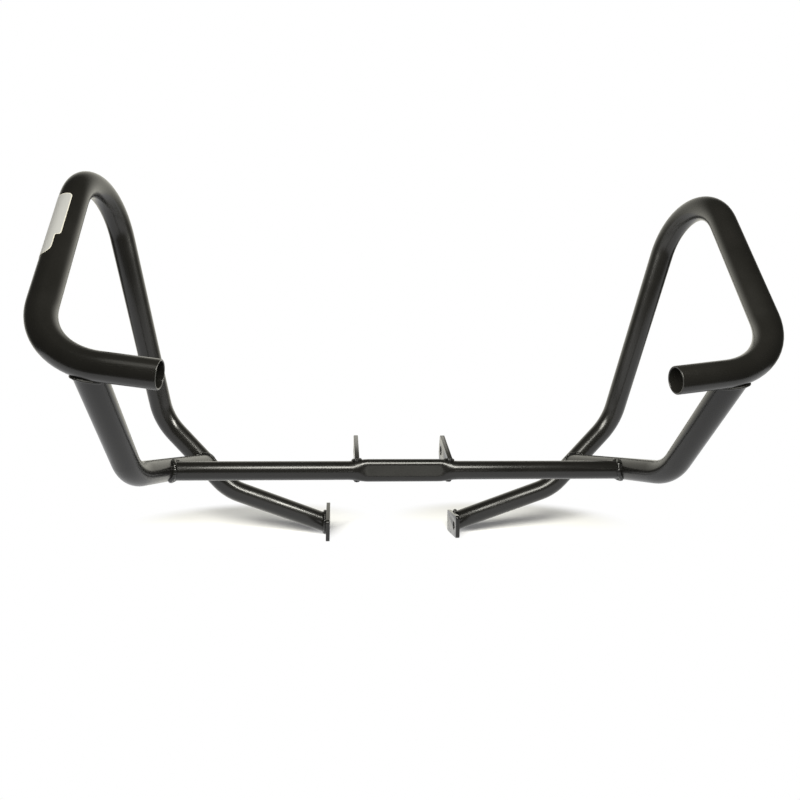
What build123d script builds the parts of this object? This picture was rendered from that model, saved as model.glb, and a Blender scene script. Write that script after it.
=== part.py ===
from build123d import *
from math import cos, pi, radians, sin
import os

# Motorcycle crash bars: two bent side hoops, a strut below each, and a cross tube with its fixings.
# Frame: Y to the rear and Z up, with left and right as seen from the front, in millimetres.
# Origin: the middle of the bolt line through the two upper tabs.

# Tube stock
TUBE_OD = 30.0
TUBE_WALL = 2.0
CROSS_OD = 25.0
CROSS_WALL = 2.0
BEND_RADIUS = 75.0

# Corners of one hoop's centre line, from its open front end: out from the middle, back and up
STUB_END = (256.0, -283.5, 84.5)
FRONT_CORNER = (377.0, -281.5, 100.0)
TOP_CORNER = (386.0, -98.0, 405.0)
REAR_CORNER = (344.0, 76.0, 43.0)
LOW_CORNER = (250.0, 91.0, -61.0)

# Strut below each hoop: where it joins, measured along the hoop from the open end, how far its end stops
# short of the hoop's centre line, and its bend, placed above the cross tube's centre line
STRUT_JOIN = 70.0
STRUT_INSET = 7.0
STRUT_BEND_OUT = 323.5
STRUT_BEND_BACK = -143.0
STRUT_BEND_RISE = 2.0

# Upper tabs: flat bars that rise from the cross tube to the bolt line
TAB_SPACING = 124.0
TAB_THICKNESS = 6.0
TAB_WIDTH = 36.0
TAB_REACH = 58.0
TAB_RISE = 24.0
TAB_END = 17.0
TAB_UPPER_CORNER = 5.0
TAB_LOWER_CORNER = 12.0
BOLT_HOLE = 13.5

# Middle of the cross tube, pressed flat from front and back without stretching its wall
FLAT_LENGTH = 94.0
FLAT_DEPTH = 16.2
FLAT_TRANSITION = 26.0
TRANSITION_SPANS = 4

# Foot plates, placed by their bolt holes; the left one is turned about its hole
FOOT_SPACING = 203.0
FOOT_BOLT_BACK = 112.0
FOOT_BOLT_DOWN = 124.0
FOOT_THICKNESS = 6.0
FOOT_LENGTH = 80.0
FOOT_HEIGHT = 35.0
FOOT_HOLE_SETBACK = 19.0
FOOT_CORNER = 5.0
FOOT_TILT = {"left": 15.0, "right": 0.0}

# Seat of the hoop's end on its foot plate, from the bolt hole
FOOT_SEAT_BACK = 31.5
FOOT_SEAT_UP = 1.5

# Welds: bead size on the first piece, on the second, and on the cross tube at the tabs, then the root gap
# below a bead and its fit on the second piece
BEAD_LEG = 4.0
BEAD_SIDE_LEG = 3.5
TAB_BEAD_LEG = 4.0
ROOT_GAP = 0.3
BEAD_FIT = 0.05

# Places worked out from the sizes above
SIDES = {"left": -1, "right": 1}
CROSS_BACK = -TAB_REACH * cos(radians(TAB_RISE))
CROSS_UP = -TAB_REACH * sin(radians(TAB_RISE))
FLAT_HEIGHT = (pi * CROSS_OD - (pi - 2) * FLAT_DEPTH) / 2
FOOT_OUTER_FACE = FOOT_SPACING / 2 + FOOT_THICKNESS / 2
FOOT_END = (FOOT_OUTER_FACE, FOOT_BOLT_BACK + FOOT_SEAT_BACK, FOOT_SEAT_UP - FOOT_BOLT_DOWN)
BEAD_ROD = 2 * TUBE_OD


def on_side(point, side):
    """A point of the right-hand half, or its mirror image on the left."""
    return Vector(side * point[0], point[1], point[2])


def bent_route(corners):
    """Straight runs between corners, joined by bends of one radius."""
    with BuildLine() as route:
        FilletPolyline(*corners, radius=BEND_RADIUS)
    return route.wires()[0]


def hoop_route(side):
    """A hoop's centre line, with its last run carried on through the foot plate."""
    corners = [
        on_side(point, side)
        for point in (STUB_END, FRONT_CORNER, TOP_CORNER, REAR_CORNER, LOW_CORNER, FOOT_END)
    ]
    last_run = (corners[-1] - corners[-2]).normalized()
    corners[-1] += last_run * TUBE_OD
    return bent_route(corners)


def strut_corners(side):
    """A strut's top in the hoop, its bend, and its rear end on the hoop's low run, level with the cross tube."""
    joint = hoop_route(side).position_at(STRUT_JOIN, position_mode=PositionMode.LENGTH)
    bend = Vector(side * STRUT_BEND_OUT, STRUT_BEND_BACK, CROSS_UP + STRUT_BEND_RISE)
    top = joint + (bend - joint).normalized() * STRUT_INSET
    rear_corner = on_side(REAR_CORNER, side)
    low_corner = on_side(LOW_CORNER, side)
    share = (rear_corner.Z - CROSS_UP) / (rear_corner.Z - low_corner.Z)
    return [top, bend, rear_corner + (low_corner - rear_corner) * share]


def strut_seat(side):
    """The point of the cross tube's centre line where it reaches the middle of a strut's rear run."""
    bend, rear_end = strut_corners(side)[1:]
    share = (CROSS_BACK - bend.Y) / (rear_end.Y - bend.Y)
    return Vector(bend.X + (rear_end.X - bend.X) * share, CROSS_BACK, CROSS_UP)


def rod(route, radius):
    """A round bar along a route."""
    with BuildPart() as bar:
        with BuildSketch(Plane(origin=route @ 0, z_dir=route % 0)):
            Circle(radius)
        sweep(path=route)
    return bar.part


def straight_rod(start, end, radius):
    """A round bar from one point to another."""
    run = end - start
    with BuildPart() as bar:
        with BuildSketch(Plane(origin=start, z_dir=run)):
            Circle(radius)
        extrude(amount=run.length)
    return bar.part


def pressed_section(plane, press, grow):
    """A section of the cross tube: round where press is 0, flattened front to back where it is 1."""
    radius = CROSS_OD / 2 + grow
    corner = radius * cos(radians(45))
    flat_depth = FLAT_DEPTH / 2 + grow
    flat_height = FLAT_HEIGHT / 2 + grow
    depth = radius + (flat_depth - radius) * press
    height = radius + (flat_height - radius) * press
    edge_back = corner + (flat_depth - corner) * press
    edge_up = corner + (flat_height - flat_depth - corner) * press
    with BuildSketch(plane) as section:
        with BuildLine():
            for turn in (1, -1):
                if press < 1:
                    ThreePointArc(
                        (turn * edge_back, -turn * edge_up), (turn * depth, 0), (turn * edge_back, turn * edge_up)
                    )
                else:
                    Line((turn * edge_back, -turn * edge_up), (turn * edge_back, turn * edge_up))
                ThreePointArc(
                    (turn * edge_back, turn * edge_up), (0, turn * height), (-turn * edge_back, turn * edge_up)
                )
        make_face()
    return section.sketch


def cross_bar(grow):
    """The cross tube's solid form, larger all round by grow, from one strut's centre line to the other."""
    middle = Plane(origin=(0, CROSS_BACK, CROSS_UP), x_dir=(0, 1, 0), z_dir=(1, 0, 0))
    round_start = FLAT_LENGTH / 2 + FLAT_TRANSITION
    round_length = strut_seat(SIDES["right"]).X - round_start
    with BuildPart() as bar:
        extrude(pressed_section(middle, 1, grow), amount=FLAT_LENGTH / 2, both=True)
        for side in SIDES.values():
            sections = []
            for step in range(TRANSITION_SPANS + 1):
                share = step / TRANSITION_SPANS
                press = 1 - share * share * (3 - 2 * share)
                place = middle.offset(side * (FLAT_LENGTH / 2 + share * FLAT_TRANSITION))
                sections.append(pressed_section(place, press, grow))
            loft(sections)
            extrude(sections[-1], amount=side * round_length)
    return bar.part


def tab_bar(side, grow):
    """A tab's flat bar from the cross tube's centre line to past the bolt hole, larger all round by grow."""
    rise = radians(TAB_RISE)
    foot = (side * TAB_SPACING / 2, CROSS_BACK, CROSS_UP)
    plane = Plane(origin=foot, x_dir=(0, cos(rise), sin(rise)), z_dir=(1, 0, 0))
    length = TAB_REACH + TAB_END
    with BuildPart() as bar:
        with BuildSketch(plane):
            with Locations((length / 2, 0)):
                Rectangle(length + 2 * grow, TAB_WIDTH + 2 * grow)
        extrude(amount=TAB_THICKNESS / 2 + grow, both=True)
    return bar.part


def foot_plane(side_name):
    """The middle plane of a foot plate, at its bolt hole, with x along the plate to the rear."""
    tilt = radians(FOOT_TILT[side_name])
    origin = (SIDES[side_name] * FOOT_SPACING / 2, FOOT_BOLT_BACK, -FOOT_BOLT_DOWN)
    return Plane(origin=origin, x_dir=(0, cos(tilt), sin(tilt)), z_dir=(1, 0, 0))


def foot_bar(side_name, grow):
    """A foot plate without its hole, larger all round by grow."""
    with BuildPart() as bar:
        with BuildSketch(foot_plane(side_name)):
            with Locations((FOOT_LENGTH / 2 - FOOT_HOLE_SETBACK, 0)):
                RectangleRounded(FOOT_LENGTH + 2 * grow, FOOT_HEIGHT + 2 * grow, FOOT_CORNER + grow)
        extrude(amount=FOOT_THICKNESS / 2 + grow, both=True)
    return bar.part


def bead(first_grown, second_grown, first, second):
    """A weld bead: the space close to two pieces and outside both."""
    with BuildPart() as weld:
        add(first_grown)
        add(second_grown, mode=Mode.INTERSECT)
        add(first, mode=Mode.SUBTRACT)
        add(second, mode=Mode.SUBTRACT)
    return weld.part


def write_piece(piece, name):
    """Label a finished piece and write it as its own file."""
    piece.label = name
    export_step(piece, f"parts/{name}.step")


os.makedirs("parts", exist_ok=True)
cross_form = cross_bar(0)
cross_cutter = cross_bar(ROOT_GAP)
cross_grown = cross_bar(TAB_BEAD_LEG)

# The cross tube, coped at both ends to sit against the struts
with BuildPart() as cross_tube:
    add(cross_form)
    add(cross_bar(-CROSS_WALL), mode=Mode.SUBTRACT)
    for side in SIDES.values():
        add(rod(bent_route(strut_corners(side)), TUBE_OD / 2 + ROOT_GAP), mode=Mode.SUBTRACT)
write_piece(cross_tube.part, "cross_tube")

for side_name, side in SIDES.items():
    hoop_line = hoop_route(side)
    hoop_form = rod(hoop_line, TUBE_OD / 2)
    hoop_grown = rod(hoop_line, TUBE_OD / 2 + BEAD_LEG)
    strut_top, strut_bend, strut_rear = strut_corners(side)
    strut_line = bent_route([strut_top, strut_bend, strut_rear])
    strut_form = rod(strut_line, TUBE_OD / 2)
    outer_face = Plane(origin=(side * FOOT_OUTER_FACE, 0, 0), z_dir=(side, 0, 0))

    # The hoop: one bent tube, open at its front end and cut to the foot plate
    with BuildPart() as hoop:
        add(hoop_form)
        add(rod(hoop_line, TUBE_OD / 2 - TUBE_WALL), mode=Mode.SUBTRACT)
        split(bisect_by=outer_face, keep=Keep.TOP)
    write_piece(hoop.part, f"{side_name}_hoop_tube")

    # The strut: a bent tube, coped to the hoop at both ends
    with BuildPart() as strut:
        add(strut_form)
        add(rod(strut_line, TUBE_OD / 2 - TUBE_WALL), mode=Mode.SUBTRACT)
        add(rod(hoop_line, TUBE_OD / 2 + ROOT_GAP), mode=Mode.SUBTRACT)
    write_piece(strut.part, f"{side_name}_strut_tube")

    # The weld beads round the strut's two ends
    down = (strut_bend - strut_top).normalized()
    forward = (strut_bend - strut_rear).normalized()
    for place, end, along in (("top", strut_top, down), ("rear", strut_rear, forward)):
        end_grown = straight_rod(end - along * BEAD_SIDE_LEG, end + along * BEAD_ROD, TUBE_OD / 2 + BEAD_SIDE_LEG)
        end_form = straight_rod(end, end + along * BEAD_ROD, TUBE_OD / 2 + BEAD_FIT)
        write_piece(bead(hoop_grown, end_grown, hoop_form, end_form), f"{side_name}_strut_{place}_weld")

    # The weld bead round the cross tube's end
    seat = strut_seat(side)
    inboard = seat - Vector(side * BEAD_ROD, 0, 0)
    cross_end_grown = straight_rod(seat, inboard, CROSS_OD / 2 + BEAD_SIDE_LEG)
    cross_end = straight_rod(seat, inboard, CROSS_OD / 2 + BEAD_FIT)
    strut_grown = rod(strut_line, TUBE_OD / 2 + BEAD_LEG)
    write_piece(bead(strut_grown, cross_end_grown, strut_form, cross_end), f"{side_name}_cross_tube_weld")

    # The tab: a flat bar notched to the cross tube, with rounded rear corners and a bolt hole
    with BuildPart() as tab:
        add(tab_bar(side, 0))
        rear_edges = tab.edges().filter_by(Axis.X).sort_by(Axis.Y)[-2:].sort_by(Axis.Z)
        fillet(rear_edges[-1], TAB_UPPER_CORNER)
        fillet(tab.edges().filter_by(Axis.X).sort_by(Axis.Y)[-1], TAB_LOWER_CORNER)
        add(cross_cutter, mode=Mode.SUBTRACT)
        with BuildSketch(Plane.YZ.offset(side * TAB_SPACING / 2)):
            Circle(BOLT_HOLE / 2)
        extrude(amount=TAB_THICKNESS, both=True, mode=Mode.SUBTRACT)
    write_piece(tab.part, f"{side_name}_tab")

    # The weld bead round the tab's notch
    tab_bead = bead(cross_grown, tab_bar(side, BEAD_SIDE_LEG), cross_form, tab_bar(side, BEAD_FIT))
    write_piece(tab_bead, f"{side_name}_tab_weld")

    # The foot plate, with its bolt hole in front of the hoop's end
    with BuildPart() as foot_plate:
        add(foot_bar(side_name, 0))
        with BuildSketch(foot_plane(side_name)):
            Circle(BOLT_HOLE / 2)
        extrude(amount=FOOT_THICKNESS, both=True, mode=Mode.SUBTRACT)
    write_piece(foot_plate.part, f"{side_name}_foot_plate")

    # The weld bead round the hoop's end, on the plate's outer face
    with BuildPart() as foot_bead:
        add(bead(foot_bar(side_name, BEAD_LEG), hoop_grown, foot_bar(side_name, 0), hoop_form))
        split(bisect_by=outer_face, keep=Keep.TOP)
    write_piece(foot_bead.part, f"{side_name}_foot_plate_weld")
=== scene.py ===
"""Looks of the motorcycle crash bars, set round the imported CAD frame, in metres.

Y runs to the rear and Z up, with left and right as seen from the front.
"""

import logging
import math
import random
from collections.abc import Callable
from dataclasses import dataclass, field
from enum import Enum

import bpy
from mathutils import Matrix, Vector

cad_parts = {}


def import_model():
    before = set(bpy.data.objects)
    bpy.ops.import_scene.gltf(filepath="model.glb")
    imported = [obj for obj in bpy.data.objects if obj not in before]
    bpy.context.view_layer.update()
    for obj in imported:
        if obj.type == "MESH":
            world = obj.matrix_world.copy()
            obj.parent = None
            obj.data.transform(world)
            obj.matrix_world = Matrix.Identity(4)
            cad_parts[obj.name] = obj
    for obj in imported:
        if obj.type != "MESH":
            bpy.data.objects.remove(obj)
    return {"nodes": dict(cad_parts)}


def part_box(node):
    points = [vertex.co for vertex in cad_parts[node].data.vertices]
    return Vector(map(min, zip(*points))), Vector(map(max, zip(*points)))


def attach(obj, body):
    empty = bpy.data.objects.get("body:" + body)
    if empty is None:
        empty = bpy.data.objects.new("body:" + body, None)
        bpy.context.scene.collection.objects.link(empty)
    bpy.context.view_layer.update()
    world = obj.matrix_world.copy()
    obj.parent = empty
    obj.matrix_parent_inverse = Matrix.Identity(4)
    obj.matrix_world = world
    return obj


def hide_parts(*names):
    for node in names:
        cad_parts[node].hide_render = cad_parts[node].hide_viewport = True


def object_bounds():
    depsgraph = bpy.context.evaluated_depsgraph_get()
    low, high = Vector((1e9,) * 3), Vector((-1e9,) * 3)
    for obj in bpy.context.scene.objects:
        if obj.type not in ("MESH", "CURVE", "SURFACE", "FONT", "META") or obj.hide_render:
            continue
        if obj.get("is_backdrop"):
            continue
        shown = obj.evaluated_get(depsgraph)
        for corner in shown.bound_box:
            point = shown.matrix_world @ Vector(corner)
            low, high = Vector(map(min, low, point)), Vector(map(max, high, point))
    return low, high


LOG = logging.getLogger("crash_bars")
BODY = "root"
FLOOR = "floor"
CROSS_TUBE = "cross_tube"
SMOOTH_ANGLE = math.radians(40.0)
FLAT_ANGLE = math.radians(1.0)

Colour = tuple[float, float, float]
Place = tuple[float, float, float]
WHITE: Colour = (1.0, 1.0, 1.0)


class Side(Enum):
    """The two sides of the bars, with the sign of X on each."""

    LEFT = -1
    RIGHT = 1

    @property
    def label(self) -> str:
        """The side's word in node names."""
        return self.name.lower()

    def mirrored(self, place: Place) -> Vector:
        """A place of the right-hand half, on this side."""
        return Vector((self.value * place[0], place[1], place[2]))


class Joint(Enum):
    """The kinds of weld on each side, by the end of their node names."""

    STRUT_TOP = "strut_top_weld"
    STRUT_REAR = "strut_rear_weld"
    CROSS_TUBE = "cross_tube_weld"
    TAB = "tab_weld"
    FOOT_PLATE = "foot_plate_weld"


def side_names(*pieces: str) -> list[str]:
    """Node names of pieces that both sides have.

    Args:
        pieces: The names without their side.

    Returns:
        The full names, left and right.
    """
    return [f"{side.label}_{piece}" for side in Side for piece in pieces]


HOOPS = tuple(f"{name}_eased" for name in side_names("hoop_tube"))
LEFT_HOOP, RIGHT_HOOP = HOOPS
FEET = tuple(f"{name}_eased" for name in side_names("foot_plate"))
TABS = tuple(f"{name}_eased" for name in side_names("tab"))
TOP_BEADS = tuple(f"{name}_rippled" for name in side_names(Joint.STRUT_TOP.value))
STICKER = "left_blank_sticker"


def pick(piece: bpy.types.Object, *others: bpy.types.Object) -> None:
    """Make a piece the active object, selected alone or with others.

    Args:
        piece: The piece to work on.
        others: Further objects to select.
    """
    bpy.ops.object.select_all(action="DESELECT")
    for each in (piece, *others):
        each.select_set(True)
    bpy.context.view_layer.objects.active = piece


def apply_modifier(piece: bpy.types.Object, kind: str, **settings: object) -> None:
    """Add a modifier to a piece and apply it.

    Args:
        piece: The piece.
        kind: The modifier's type name.
        settings: Values of the modifier's properties.
    """
    pick(piece)
    modifier = piece.modifiers.new(kind.lower(), kind)
    for name, value in settings.items():
        setattr(modifier, name, value)
    bpy.ops.object.modifier_apply(modifier=modifier.name)


def select_corners(piece: bpy.types.Object, wanted: Callable[[Vector], bool]) -> None:
    """Select a piece's vertices by place and leave it in edit mode.

    Args:
        piece: The piece, in object mode.
        wanted: Says of a place whether its vertex is selected.
    """
    pick(piece)
    bpy.ops.object.mode_set(mode="EDIT")
    bpy.ops.mesh.select_mode(type="VERT")
    bpy.ops.mesh.select_all(action="DESELECT")
    bpy.ops.object.mode_set(mode="OBJECT")
    for vertex in piece.data.vertices:
        vertex.select = wanted(vertex.co)
    bpy.ops.object.mode_set(mode="EDIT")


def install(piece: bpy.types.Object, stands_for: str | None = None) -> None:
    """Let a finished piece ride on the bars.

    Args:
        piece: The piece.
        stands_for: The CAD node it replaces.
    """
    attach(piece, BODY)
    if stands_for:
        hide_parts(stands_for)
    LOG.info("placed %s", piece.name)


class NodeBoard:
    """The node tree of a material or a world, with short ways to add and join nodes."""

    noise_low = 0.3
    noise_high = 0.7

    def __init__(self, owner: bpy.types.Material | bpy.types.World) -> None:
        """Start with an empty tree.

        Args:
            owner: The material or world.
        """
        self.owner = owner
        self.owner.use_nodes = True
        self.tree = self.owner.node_tree
        self.tree.nodes.clear()

    def add(self, kind: str, **inputs: object) -> bpy.types.Node:
        """Add a node and set its inputs.

        Args:
            kind: The node's type name.
            inputs: Input values, by socket name with underscores for spaces.

        Returns:
            The new node.
        """
        node = self.tree.nodes.new(kind)
        for name, value in inputs.items():
            node.inputs[name.replace("_", " ")].default_value = value
        return node

    def join(self, start: bpy.types.NodeSocket, end: bpy.types.NodeSocket) -> None:
        """Link an output to an input."""
        self.tree.links.new(start, end)

    def noise(self, feature: float, detail: float) -> bpy.types.NodeSocket:
        """Add a noise on the object's own coordinates.

        Args:
            feature: Width of one blotch, in metres.
            detail: Number of finer layers.

        Returns:
            The noise's value, about 0.5 on average.
        """
        places = self.add("ShaderNodeTexCoord")
        noise = self.add("ShaderNodeTexNoise", Scale=1.0 / feature, Detail=detail)
        self.join(places.outputs["Object"], noise.inputs["Vector"])
        return noise.outputs["Fac"]

    def spread(
        self, value: bpy.types.NodeSocket, low: float, high: float
    ) -> bpy.types.NodeSocket:
        """Stretch the middle of a noise over a range.

        Args:
            value: The noise's value.
            low: Result where the noise is low.
            high: Result where the noise is high.

        Returns:
            The stretched value.
        """
        return self.ramp(value, self.noise_low, self.noise_high, low, high, "LINEAR")

    def ramp(
        self,
        value: bpy.types.NodeSocket,
        start: float,
        end: float,
        low: float = 0.0,
        high: float = 1.0,
        shape: str = "SMOOTHSTEP",
    ) -> bpy.types.NodeSocket:
        """Map a range of a value to another range.

        Args:
            value: The value.
            start: The value that gives the low result.
            end: The value that gives the high result.
            low: The low result.
            high: The high result.
            shape: How the result runs between the two.

        Returns:
            The mapped value.
        """
        ramp = self.add("ShaderNodeMapRange", From_Min=start, From_Max=end, To_Min=low, To_Max=high)
        ramp.interpolation_type = shape
        self.join(value, ramp.inputs["Value"])
        return ramp.outputs["Result"]

    def blend(
        self, factor: bpy.types.NodeSocket, first: Colour, second: Colour
    ) -> bpy.types.NodeSocket:
        """Blend two colours.

        Args:
            factor: Share of the second colour.
            first: The first colour.
            second: The second colour.

        Returns:
            The blended colour.
        """
        mix = self.tree.nodes.new("ShaderNodeMix")
        mix.data_type = "RGBA"
        mix.inputs["A"].default_value = (*first, 1.0)
        mix.inputs["B"].default_value = (*second, 1.0)
        self.join(factor, mix.inputs["Factor"])
        return mix.outputs["Result"]

    def bump(self, height: bpy.types.NodeSocket, depth: float) -> bpy.types.NodeSocket:
        """Turn a height pattern into surface normals.

        Args:
            height: The pattern, 0 to 1.
            depth: The relief's depth, in metres.

        Returns:
            The normals.
        """
        bump = self.add("ShaderNodeBump", Distance=depth)
        self.join(height, bump.inputs["Height"])
        return bump.outputs["Normal"]

    def mix_shaders(
        self, factor: bpy.types.NodeSocket, first: bpy.types.Node, second: bpy.types.Node
    ) -> bpy.types.Node:
        """Mix two shaders.

        Args:
            factor: Share of the second shader.
            first: The first shader node.
            second: The second shader node.

        Returns:
            The mixing node.
        """
        mix = self.tree.nodes.new("ShaderNodeMixShader")
        self.join(factor, mix.inputs[0])
        self.join(first.outputs[0], mix.inputs[1])
        self.join(second.outputs[0], mix.inputs[2])
        return mix

    def finish(self, shader: bpy.types.Node) -> None:
        """Send a shader to the output.

        Args:
            shader: The last shader node.
        """
        is_world = isinstance(self.owner, bpy.types.World)
        output = self.add("ShaderNodeOutputWorld" if is_world else "ShaderNodeOutputMaterial")
        self.join(shader.outputs[0], output.inputs["Surface"])


@dataclass(frozen=True)
class PaintFinish:
    """A satin black powder coat: cloudy gloss and a fine orange peel."""

    name: str
    slot: str
    colour: Colour
    worn_colour: Colour
    roughness: float
    roughness_spread: float
    peel_width: float
    peel_depth: float
    ior: float = 1.5
    cloud_width: float = 0.045
    cloud_detail: float = 4.0
    peel_detail: float = 2.0

    def material(self) -> bpy.types.Material:
        """Build the paint's material.

        Returns:
            The material, on object coordinates.
        """
        board = NodeBoard(bpy.data.materials.new(self.name))
        shader = board.add("ShaderNodeBsdfPrincipled", IOR=self.ior)
        cloud = board.noise(self.cloud_width, self.cloud_detail)
        colour = board.blend(board.spread(cloud, 0.0, 1.0), self.colour, self.worn_colour)
        board.join(colour, shader.inputs["Base Color"])
        low = self.roughness - self.roughness_spread
        high = self.roughness + self.roughness_spread
        board.join(board.spread(cloud, low, high), shader.inputs["Roughness"])
        peel = board.noise(self.peel_width, self.peel_detail)
        board.join(board.bump(peel, self.peel_depth), shader.inputs["Normal"])
        board.finish(shader)
        return board.owner


TUBE_PAINT = PaintFinish(
    name="satin_black_tube",
    slot="painted_tube",
    colour=(0.0072, 0.0069, 0.0061),
    worn_colour=(0.0095, 0.0091, 0.0081),
    roughness=0.25,
    roughness_spread=0.025,
    peel_width=0.0014,
    peel_depth=0.0000015,
)
PLATE_PAINT = PaintFinish(
    name="satin_black_plate",
    slot="painted_plate",
    colour=(0.0095, 0.0092, 0.0082),
    worn_colour=(0.014, 0.0135, 0.012),
    roughness=0.22,
    roughness_spread=0.04,
    peel_width=0.0011,
    peel_depth=0.000004,
)
WELD_PAINT = PaintFinish(
    name="gloss_black_weld",
    slot="painted_weld",
    colour=(0.007, 0.0068, 0.0062),
    worn_colour=(0.01, 0.0097, 0.0088),
    roughness=0.17,
    roughness_spread=0.05,
    peel_width=0.0009,
    peel_depth=0.000006,
)


@dataclass
class PaintedNodes:
    """CAD nodes that keep their shape and get a paint."""

    names: list[str]
    paint: PaintFinish

    def dress(self, nodes: dict[str, bpy.types.Object]) -> None:
        """Give each node the paint.

        Args:
            nodes: The frame's nodes by name.
        """
        material = self.paint.material()
        for name in self.names:
            mesh = nodes[name].data
            mesh.materials.clear()
            mesh.materials.append(material)
            LOG.info("painted %s", name)


@dataclass
class EasedNodes:
    """Copies of CAD nodes with their cut edges eased, which replace them."""

    names: list[str]
    paint: PaintFinish
    width: float
    flat_sided: bool
    edge_angle: float = 55.0
    merge_distance: float = 1e-6
    rounds: int = 3

    def build(self, nodes: dict[str, bpy.types.Object]) -> None:
        """Copy, ease and paint each node.

        Args:
            nodes: The frame's nodes by name.
        """
        material = self.paint.material()
        for name in self.names:
            piece = self.ease(nodes[name], f"{name}_eased")
            piece.data.materials.clear()
            piece.data.materials.append(material)
            install(piece, name)

    def ease(self, node: bpy.types.Object, name: str) -> bpy.types.Object:
        """Copy a node and round its sharp edges.

        Args:
            node: The CAD node.
            name: The copy's name.

        Returns:
            The copy, with its place in its mesh.
        """
        piece = bpy.data.objects.new(name, node.data.copy())
        piece.data.transform(node.matrix_world)
        bpy.context.collection.objects.link(piece)
        pick(piece)
        bpy.ops.mesh.customdata_custom_splitnormals_clear()
        bpy.ops.object.mode_set(mode="EDIT")
        bpy.ops.mesh.select_all(action="SELECT")
        bpy.ops.mesh.remove_doubles(threshold=self.merge_distance)
        if self.flat_sided:
            bpy.ops.mesh.dissolve_limited(angle_limit=FLAT_ANGLE)
        bpy.ops.object.mode_set(mode="OBJECT")
        apply_modifier(
            piece,
            "BEVEL",
            width=self.width,
            segments=self.rounds,
            limit_method="ANGLE",
            angle_limit=math.radians(self.edge_angle),
            use_clamp_overlap=False,
        )
        bpy.ops.object.shade_smooth_by_angle(angle=SMOOTH_ANGLE)
        return piece


@dataclass(frozen=True)
class BeadStyle:
    """How the welds of one kind were laid.

    The axis is that of the ring on the right-hand side, and the sink moves the bead toward its middle.
    """

    joint: Joint
    axis: Place
    radius: float
    pitch: float
    sink: float = 0.0


BEAD_STYLES = (
    BeadStyle(Joint.STRUT_TOP, (-0.037, 0.757, -0.652), radius=0.0018, pitch=0.0017, sink=0.0011),
    BeadStyle(Joint.STRUT_REAR, (0.175, -0.984, 0.009), radius=0.0024, pitch=0.0023, sink=0.0011),
    BeadStyle(Joint.CROSS_TUBE, (1.0, 0.0, 0.0), radius=0.0035, pitch=0.003, sink=0.002),
    BeadStyle(Joint.TAB, (0.0, 0.914, 0.407), radius=0.0024, pitch=0.0022),
    BeadStyle(Joint.FOOT_PLATE, (1.0, 0.0, 0.0), radius=0.0028, pitch=0.0025, sink=0.0005),
)


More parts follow.
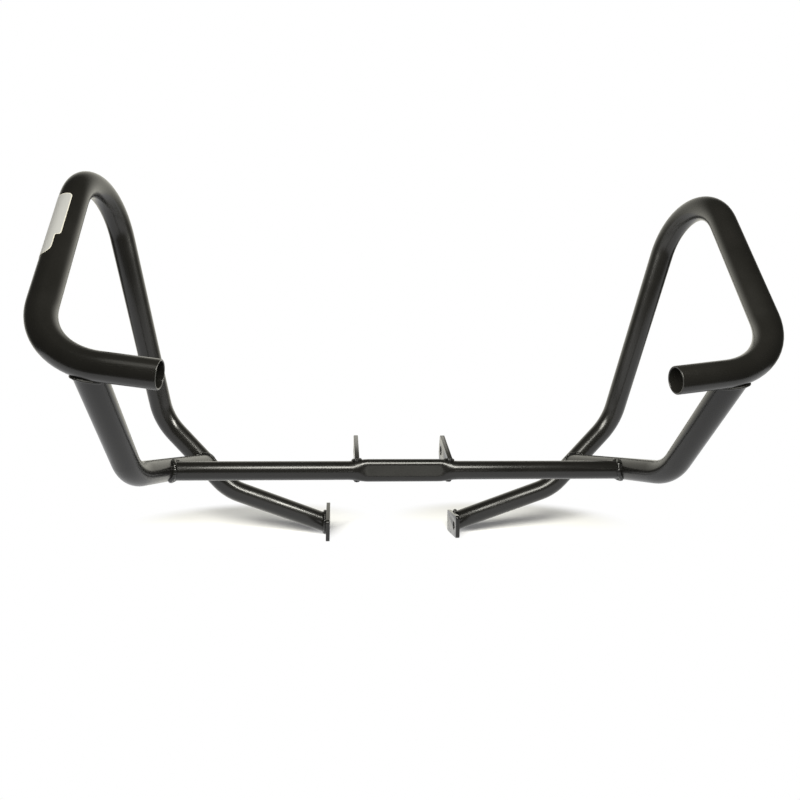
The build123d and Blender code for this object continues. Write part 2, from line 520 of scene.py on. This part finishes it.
@dataclass
class RippledWeld:
    """A weld of overlapping ripples, laid along the middle of the CAD bead that it replaces."""

    side: Side
    style: BeadStyle
    sectors: int = 60
    smooth_passes: int = 3
    ripple_share: float = 0.8
    lean: float = 24.0
    lean_spread: float = 8.0
    size_spread: float = 0.07
    voxel: float = 0.00042
    pad_segments: int = 16
    pad_rings: int = 10
    melt_factor: float = 0.5
    melt_rounds: int = 4

    @property
    def node_name(self) -> str:
        """The CAD bead's name."""
        return f"{self.side.label}_{self.style.joint.value}"

    def seam(self, node: bpy.types.Object) -> list[Vector]:
        """Find the middle of the CAD bead in each direction round its axis.

        Args:
            node: The CAD bead.

        Returns:
            Points of a closed line, in order round the axis.
        """
        axis = self.side.mirrored(self.style.axis).normalized()
        across = axis.orthogonal().normalized()
        upward = axis.cross(across)
        low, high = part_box(self.node_name)
        middle = (Vector(low) + Vector(high)) / 2.0
        sums = [Vector() for _ in range(self.sectors)]
        areas = [0.0] * self.sectors
        for face in node.data.polygons:
            centre = node.matrix_world @ face.center
            spoke = centre - middle
            turn = math.atan2(spoke.dot(upward), spoke.dot(across)) / math.tau
            sector = int(turn * self.sectors) % self.sectors
            sums[sector] += centre * face.area
            areas[sector] += face.area
        points = [total / area for total, area in zip(sums, areas) if area > 0.0]
        for _ in range(self.smooth_passes):
            points = [
                (points[i - 1] + points[i] * 2.0 + points[(i + 1) % len(points)]) / 4.0
                for i in range(len(points))
            ]
        return points

    def ripple_places(self, seam: list[Vector]) -> list[tuple[Vector, Vector]]:
        """Space the ripples evenly along the seam.

        Args:
            seam: Points of the closed seam.

        Returns:
            The place and running direction of each ripple.
        """
        closed = [*seam, seam[0]]
        lengths = [(b - a).length for a, b in zip(closed, closed[1:])]
        count = round(sum(lengths) / self.style.pitch)
        pitch = sum(lengths) / count
        places = []
        passed = 0.0
        for a, b, length in zip(closed, closed[1:], lengths):
            while len(places) < count and len(places) * pitch <= passed + length:
                share = (len(places) * pitch - passed) / length
                places.append((a.lerp(b, share), (b - a).normalized()))
            passed += length
        return places

    def ripple(self) -> bpy.types.Object:
        """Model one ripple: a flat round pad of radius 1, across Z.

        Returns:
            The ripple, to be copied.
        """
        bpy.ops.mesh.primitive_uv_sphere_add(
            segments=self.pad_segments, ring_count=self.pad_rings, radius=1.0
        )
        pad = bpy.context.object
        bpy.ops.object.mode_set(mode="EDIT")
        bpy.ops.mesh.select_all(action="SELECT")
        bpy.ops.transform.resize(value=(1.0, 1.0, self.ripple_share))
        bpy.ops.object.mode_set(mode="OBJECT")
        return pad

    def build(self, nodes: dict[str, bpy.types.Object], material: bpy.types.Material) -> None:
        """Lay the ripples, melt them together and paint them.

        Args:
            nodes: The frame's nodes by name.
            material: The weld's paint.
        """
        chance = random.Random(self.node_name)
        seam = self.seam(nodes[self.node_name])
        middle = sum(seam, Vector()) / len(seam)
        pad = self.ripple()
        pads = []
        for place, along in self.ripple_places(seam):
            outward = (place - middle).normalized()
            lean = math.radians(self.lean + chance.uniform(-self.lean_spread, self.lean_spread))
            facing = Matrix.Rotation(lean, 3, along.cross(outward)) @ along
            size = self.style.radius * (1.0 + chance.uniform(-self.size_spread, self.size_spread))
            copy = bpy.data.objects.new(self.node_name, pad.data.copy())
            root = place - outward * self.style.sink
            turn = facing.to_track_quat("Z", "Y")
            copy.data.transform(Matrix.LocRotScale(root, turn, Vector((size,) * 3)))
            bpy.context.collection.objects.link(copy)
            pads.append(copy)
        bpy.data.objects.remove(pad)
        pick(*pads)
        bpy.ops.object.join()
        weld = pads[0]
        weld.name = f"{self.node_name}_rippled"
        apply_modifier(weld, "REMESH", mode="VOXEL", voxel_size=self.voxel)
        apply_modifier(weld, "SMOOTH", factor=self.melt_factor, iterations=self.melt_rounds)
        bpy.ops.object.shade_smooth()
        weld.data.materials.clear()
        weld.data.materials.append(material)
        install(weld, self.node_name)


@dataclass(frozen=True)
class StickerFinish:
    """A satin silver foil with fine lengthwise brushing, and its pale printed border."""

    foil_colour: Colour = (0.52, 0.52, 0.51)
    shaded_colour: Colour = (0.45, 0.45, 0.445)
    border_colour: Colour = (0.72, 0.69, 0.6)
    border_shade: Colour = (0.66, 0.635, 0.55)
    foil_metallic: float = 0.15
    roughness: float = 0.38
    roughness_spread: float = 0.06
    brush_width: float = 0.0007
    brush_detail: float = 3.0
    brush_depth: float = 0.000008

    def materials(self) -> list[bpy.types.Material]:
        """Build both of the sticker's materials.

        Returns:
            The border's and the foil's, in this order.
        """
        border = self.material("sticker_border", self.border_colour, self.border_shade, 0.0)
        foil = self.material("sticker_foil", self.foil_colour, self.shaded_colour, self.foil_metallic)
        return [border, foil]

    def material(self, name: str, light: Colour, dark: Colour, metallic: float) -> bpy.types.Material:
        """Build one of the sticker's materials.

        Args:
            name: The material's name.
            light: Colour of the lighter streaks.
            dark: Colour of the darker streaks.
            metallic: How metallic it shines.

        Returns:
            The material, on object coordinates.
        """
        board = NodeBoard(bpy.data.materials.new(name))
        shader = board.add("ShaderNodeBsdfPrincipled", Metallic=metallic)
        streaks = board.noise(self.brush_width, self.brush_detail)
        colour = board.blend(board.spread(streaks, 0.0, 1.0), dark, light)
        board.join(colour, shader.inputs["Base Color"])
        low = self.roughness - self.roughness_spread
        high = self.roughness + self.roughness_spread
        board.join(board.spread(streaks, low, high), shader.inputs["Roughness"])
        board.join(board.bump(streaks, self.brush_depth), shader.inputs["Normal"])
        board.finish(shader)
        return board.owner


@dataclass
class BlankSticker:
    """A blank, stepped sticker wrapped round the front leg of the left hoop.

    It is drawn flat in XZ, facing -Y, with X round the tube and Z along it, then bent and set in place.
    """

    leg_foot: Place = (-0.377, -0.2815, 0.1)
    leg_head: Place = (-0.386, -0.098, 0.405)
    tube_radius: float = 0.01508
    width: float = 0.036
    step_x: float = 0.0128
    bottom: float = 0.1215
    step: float = 0.1475
    top: float = 0.211
    turn: float = -48.6
    border: float = 0.0008
    thickness: float = 0.00014
    cuts: int = 23
    corner_radius: float = 0.004
    step_radius: float = 0.0035
    notch_radius: float = 0.0015
    tail_radius: float = 0.009
    corner_segments: int = 6
    finish: StickerFinish = field(default_factory=StickerFinish)

    def outline(self) -> bpy.types.Object:
        """Draw the flat sticker as one stepped face.

        Returns:
            The sticker, with square corners.
        """
        bpy.ops.mesh.primitive_grid_add(x_subdivisions=2, y_subdivisions=1, size=1.0)
        piece = bpy.context.object
        piece.name = STICKER
        piece.data.transform(Matrix.Rotation(math.radians(90.0), 4, "X"))
        bpy.ops.object.mode_set(mode="EDIT")
        bpy.ops.mesh.select_all(action="SELECT")
        bpy.ops.transform.resize(value=(self.width, 1.0, self.top - self.step))
        bpy.ops.transform.translate(value=(0.0, 0.0, (self.top + self.step) / 2.0))
        bpy.ops.object.mode_set(mode="OBJECT")
        select_corners(piece, lambda place: abs(place.x) < self.width / 4.0)
        bpy.ops.transform.translate(value=(self.step_x, 0.0, 0.0))
        bpy.ops.object.mode_set(mode="OBJECT")
        halfway = (self.top + self.step) / 2.0
        edge = (self.step_x + self.width / 2.0) / 2.0
        select_corners(piece, lambda place: place.z < halfway and place.x < edge)
        drop = (0.0, 0.0, self.bottom - self.step)
        bpy.ops.mesh.extrude_region_move(TRANSFORM_OT_translate={"value": drop})
        bpy.ops.mesh.select_all(action="SELECT")
        bpy.ops.mesh.dissolve_limited(angle_limit=FLAT_ANGLE)
        bpy.ops.object.mode_set(mode="OBJECT")
        return piece

    def round_corner(self, piece: bpy.types.Object, x: float, z: float, radius: float) -> None:
        """Round one corner of the flat sticker.

        Args:
            piece: The sticker.
            x: The corner's place across.
            z: The corner's place along the tube.
            radius: The round's radius.
        """
        corner = Vector((x, 0.0, z))
        select_corners(piece, lambda place: (place - corner).length < self.border)
        bpy.ops.mesh.bevel(offset=radius, segments=self.corner_segments, affect="VERTICES")
        bpy.ops.object.mode_set(mode="OBJECT")

    def build(self) -> None:
        """Draw, bend and set the sticker."""
        piece = self.outline()
        half = self.width / 2.0
        for x, z, radius in (
            (half, self.top, self.corner_radius),
            (-half, self.top, self.corner_radius),
            (-half, self.bottom, self.corner_radius),
            (half, self.step, self.step_radius),
            (self.step_x, self.step, self.notch_radius),
            (self.step_x, self.bottom, self.tail_radius),
        ):
            self.round_corner(piece, x, z, radius)
        for material in self.finish.materials():
            piece.data.materials.append(material)
        pick(piece)
        bpy.ops.object.mode_set(mode="EDIT")
        bpy.ops.mesh.select_mode(type="FACE")
        bpy.ops.mesh.select_all(action="SELECT")
        bpy.ops.mesh.inset(thickness=self.border, use_boundary=True)
        piece.active_material_index = 1
        bpy.ops.object.material_slot_assign()
        for cut in range(self.cuts):
            share = (cut + 1) / (self.cuts + 1)
            bpy.ops.mesh.select_all(action="SELECT")
            place = (self.width * (share - 0.5), 0.0, 0.0)
            bpy.ops.mesh.bisect(plane_co=place, plane_no=(1.0, 0.0, 0.0))
        bpy.ops.object.mode_set(mode="OBJECT")
        wrap = self.width / self.tube_radius
        apply_modifier(piece, "SIMPLE_DEFORM", deform_method="BEND", deform_axis="Z", angle=wrap)
        apply_modifier(piece, "SOLIDIFY", thickness=self.thickness, offset=1.0)
        bpy.ops.object.shade_smooth_by_angle(angle=SMOOTH_ANGLE)
        piece.data.transform(self.seat())
        install(piece)

    def seat(self) -> Matrix:
        """Find the sticker's place on the tube.

        Returns:
            The move from the flat drawing's axes, with X round the tube, -Y outward and Z along it.
        """
        foot = Vector(self.leg_foot)
        along = (Vector(self.leg_head) - foot).normalized()
        side = Vector((0.0, -1.0, 0.0)).cross(along).normalized() * -1.0
        front = side.cross(along).normalized()
        angle = math.radians(self.turn)
        outward = front * math.cos(angle) + side * math.sin(angle)
        tangent = side * math.cos(angle) - front * math.sin(angle)
        turn = Matrix((tangent, -outward, along)).transposed().to_4x4()
        return Matrix.Translation(foot + outward * self.tube_radius) @ turn


@dataclass(frozen=True)
class SoftBox:
    """An area lamp that faces a point."""

    name: str
    place: Place
    target: Place
    width: float
    height: float
    radiance: float
    mirrored: bool = True
    lit_pieces: tuple[str, ...] = ()
    spared_pieces: tuple[str, ...] = ()
    shadow_pieces: tuple[str, ...] = ()
    colour: Colour = (1.0, 0.985, 0.9)

    def group(self, purpose: str, names: tuple[str, ...]) -> bpy.types.Collection:
        """Gather pieces for the lamp.

        Args:
            purpose: What the group is for.
            names: The pieces' names.

        Returns:
            The group.
        """
        group = bpy.data.collections.new(f"{self.name}_{purpose}")
        for name in names:
            group.objects.link(bpy.data.objects[name])
        return group

    def flag(self, lamp: bpy.types.Object) -> None:
        """Keep the lamp's light on, or off, some of the pieces.

        Args:
            lamp: The lamp.
        """
        if self.lit_pieces:
            lamp.light_linking.receiver_collection = self.group("lit", self.lit_pieces)
        if self.spared_pieces:
            spared = self.group("spared", self.spared_pieces)
            for entry in spared.collection_objects:
                entry.light_linking.link_state = "EXCLUDE"
            lamp.light_linking.receiver_collection = spared
        if self.shadow_pieces:
            lamp.light_linking.blocker_collection = self.group("shadows", self.shadow_pieces)

    def build(self) -> None:
        """Hang the lamp."""
        bpy.ops.object.light_add(type="AREA", location=self.place)
        lamp = bpy.context.object
        lamp.name = self.name
        lamp.data.shape = "RECTANGLE"
        lamp.data.size = self.width
        lamp.data.size_y = self.height
        lamp.data.color = self.colour
        lamp.data.energy = self.radiance * math.pi * self.width * self.height
        facing = Vector(self.target) - Vector(self.place)
        lamp.rotation_euler = facing.to_track_quat("-Z", "Y").to_euler()
        lamp.visible_camera = False
        lamp.visible_glossy = self.mirrored
        self.flag(lamp)


@dataclass
class Studio:
    """The floor, the surroundings, the lamps and the camera."""

    floor_size: float = 3.0
    floor_front: float = -0.42
    floor_colour: Colour = (0.93, 0.93, 0.93)
    shadow_middle: Place = (0.24, 0.75, 0.0)
    shadow_reach: Place = (0.24, 0.28, 1.0)
    shadow_core: float = 0.55
    front_level: float = 0.04
    back_level: float = 1.3
    dim_until: float = 0.35
    white_from: float = 0.95
    fill_level: float = 0.2
    room_colour: Colour = (1.0, 0.98, 0.87)
    camera_place: Place = (-0.08982, -0.91274, 0.04065)
    camera_pitch: float = 1.96
    camera_yaw: float = 5.644
    camera_roll: float = 0.24
    lens: float = 29.046
    sensor_width: float = 36.0
    clip_start: float = 0.01
    lamps: list[SoftBox] = field(
        default_factory=lambda: [
            SoftBox(
                "front_softbox",
                place=(-0.05, -0.685, 0.545),
                target=(-0.05, -0.05, -0.02),
                width=0.69,
                height=0.26,
                radiance=20.0,
                spared_pieces=(FLOOR, STICKER, *HOOPS),
            ),
            SoftBox(
                "hoop_softbox",
                place=(-0.07, -0.685, 0.545),
                target=(-0.05, -0.05, -0.02),
                width=0.75,
                height=0.26,
                radiance=1.2,
                lit_pieces=HOOPS,
            ),
            SoftBox(
                "hoop_fill",
                place=(-0.07, -0.9, 0.5),
                target=(0.0, 0.0, 0.1),
                width=0.9,
                height=0.5,
                radiance=8.0,
                mirrored=False,
                lit_pieces=(STICKER, *HOOPS),
            ),
            SoftBox(
                "right_softbox",
                place=(0.5, -0.36, 0.34),
                target=(-0.178, 0.117, -0.092),
                width=0.46,
                height=0.18,
                radiance=34.0,
                lit_pieces=(LEFT_HOOP,),
                shadow_pieces=(CROSS_TUBE,),
            ),
            SoftBox(
                "left_softbox",
                place=(-0.375, -0.529, 0.3),
                target=(0.178, 0.117, -0.092),
                width=0.56,
                height=0.35,
                radiance=16.0,
                lit_pieces=(RIGHT_HOOP,),
                shadow_pieces=(CROSS_TUBE,),
            ),
            SoftBox(
                "low_card",
                place=(0.1, -1.0, -0.095),
                target=(0.0, -0.06, -0.024),
                width=0.34,
                height=0.13,
                radiance=2.2,
                lit_pieces=(CROSS_TUBE,),
            ),
            SoftBox(
                "bead_card",
                place=(-0.05, -1.1, 0.1),
                target=(0.0, -0.2, 0.06),
                width=2.4,
                height=1.2,
                radiance=2.0,
                lit_pieces=TOP_BEADS,
                shadow_pieces=(CROSS_TUBE,),
            ),
            SoftBox(
                "tab_card",
                place=(0.05, 0.85, 1.05),
                target=(0.0, -0.02, 0.0),
                width=0.6,
                height=0.4,
                radiance=1.8,
                lit_pieces=TABS,
            ),
            SoftBox(
                "floor_softbox",
                place=(-0.25, -1.2, 0.33),
                target=(0.0, 0.33, -0.14),
                width=0.5,
                height=0.2,
                radiance=270.0,
                lit_pieces=(FLOOR,),
                shadow_pieces=(*HOOPS, *FEET),
            ),
        ]
    )

    def floor_material(self) -> bpy.types.Material:
        """Build a white floor that keeps the shadows behind the two feet and is plain white elsewhere.

        Returns:
            The floor's material.
        """
        board = NodeBoard(bpy.data.materials.new("white_floor"))
        near = board.add("ShaderNodeBsdfDiffuse", Color=(*self.floor_colour, 1.0))
        far = board.add("ShaderNodeEmission", Color=(*WHITE, 1.0), Strength=1.0)
        value = board.add("ShaderNodeTexCoord").outputs["Object"]
        for operation, other in (
            ("ABSOLUTE", None),
            ("SUBTRACT", self.shadow_middle),
            ("DIVIDE", self.shadow_reach),
            ("LENGTH", None),
        ):
            step = board.tree.nodes.new("ShaderNodeVectorMath")
            step.operation = operation
            board.join(value, step.inputs[0])
            if other:
                step.inputs[1].default_value = other
            value = step.outputs["Value" if operation == "LENGTH" else "Vector"]
        board.finish(board.mix_shaders(board.ramp(value, self.shadow_core, 1.0), near, far))
        return board.owner

    def build_floor(self, height: float) -> None:
        """Lay the floor.

        Args:
            height: The floor's height.
        """
        bpy.ops.mesh.primitive_plane_add(size=self.floor_size)
        floor = bpy.context.object
        floor.name = FLOOR
        floor.data.transform(Matrix.Translation((0.0, self.floor_size / 2.0, 0.0)))
        floor.location = (0.0, self.floor_front, height)
        floor.data.materials.append(self.floor_material())
        floor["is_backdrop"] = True

    def build_world(self) -> None:
        """Surround the bars with white behind and a dim room in front, seen as plain white by the camera."""
        world = bpy.data.worlds.new("studio")
        board = NodeBoard(world)
        split = board.add("ShaderNodeSeparateXYZ")
        board.join(board.add("ShaderNodeTexCoord").outputs["Generated"], split.inputs[0])
        level = board.ramp(
            split.outputs["Y"], self.dim_until, self.white_from, self.front_level, self.back_level
        )
        room = board.add("ShaderNodeBackground", Color=(*self.room_colour, 1.0))
        board.join(level, room.inputs["Strength"])
        fill = board.add("ShaderNodeBackground", Color=(*WHITE, 1.0), Strength=self.fill_level)
        white = board.add("ShaderNodeBackground", Color=(*WHITE, 1.0))
        path = board.add("ShaderNodeLightPath")
        lit = board.mix_shaders(path.outputs["Is Glossy Ray"], fill, room)
        board.finish(board.mix_shaders(path.outputs["Is Camera Ray"], lit, white))
        bpy.context.scene.world = world

    def build_camera(self) -> None:
        """Set up the camera at the photograph's viewpoint."""
        bpy.ops.object.camera_add(location=self.camera_place)
        camera = bpy.context.object
        camera.rotation_euler = (
            math.radians(90.0 + self.camera_pitch),
            -math.radians(self.camera_roll),
            -math.radians(self.camera_yaw),
        )
        camera.data.lens = self.lens
        camera.data.sensor_width = self.sensor_width
        camera.data.clip_start = self.clip_start
        bpy.context.scene.camera = camera

    def build(self, floor_height: float) -> None:
        """Set up the whole studio.

        Args:
            floor_height: The floor's height.
        """
        bpy.context.scene.view_settings.view_transform = "Standard"
        self.build_camera()
        self.build_world()
        self.build_floor(floor_height)
        for lamp in self.lamps:
            lamp.build()


def main() -> None:
    """Load the frame, dress it, and set up the studio."""
    logging.basicConfig(level=logging.INFO)
    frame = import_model()
    cad_low, cad_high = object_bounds()
    nodes = frame["nodes"]
    bpy.ops.object.select_all(action="DESELECT")
    PaintedNodes([CROSS_TUBE, *side_names("strut_tube")], TUBE_PAINT).dress(nodes)
    EasedNodes(side_names("hoop_tube"), TUBE_PAINT, width=0.0008, flat_sided=False).build(nodes)
    EasedNodes(side_names("tab", "foot_plate"), PLATE_PAINT, width=0.0006, flat_sided=True).build(nodes)
    weld_material = WELD_PAINT.material()
    for side in Side:
        for style in BEAD_STYLES:
            RippledWeld(side, style).build(nodes, weld_material)
    BlankSticker().build()
    Studio().build(cad_low.z)


if __name__ == "__main__":
    main()
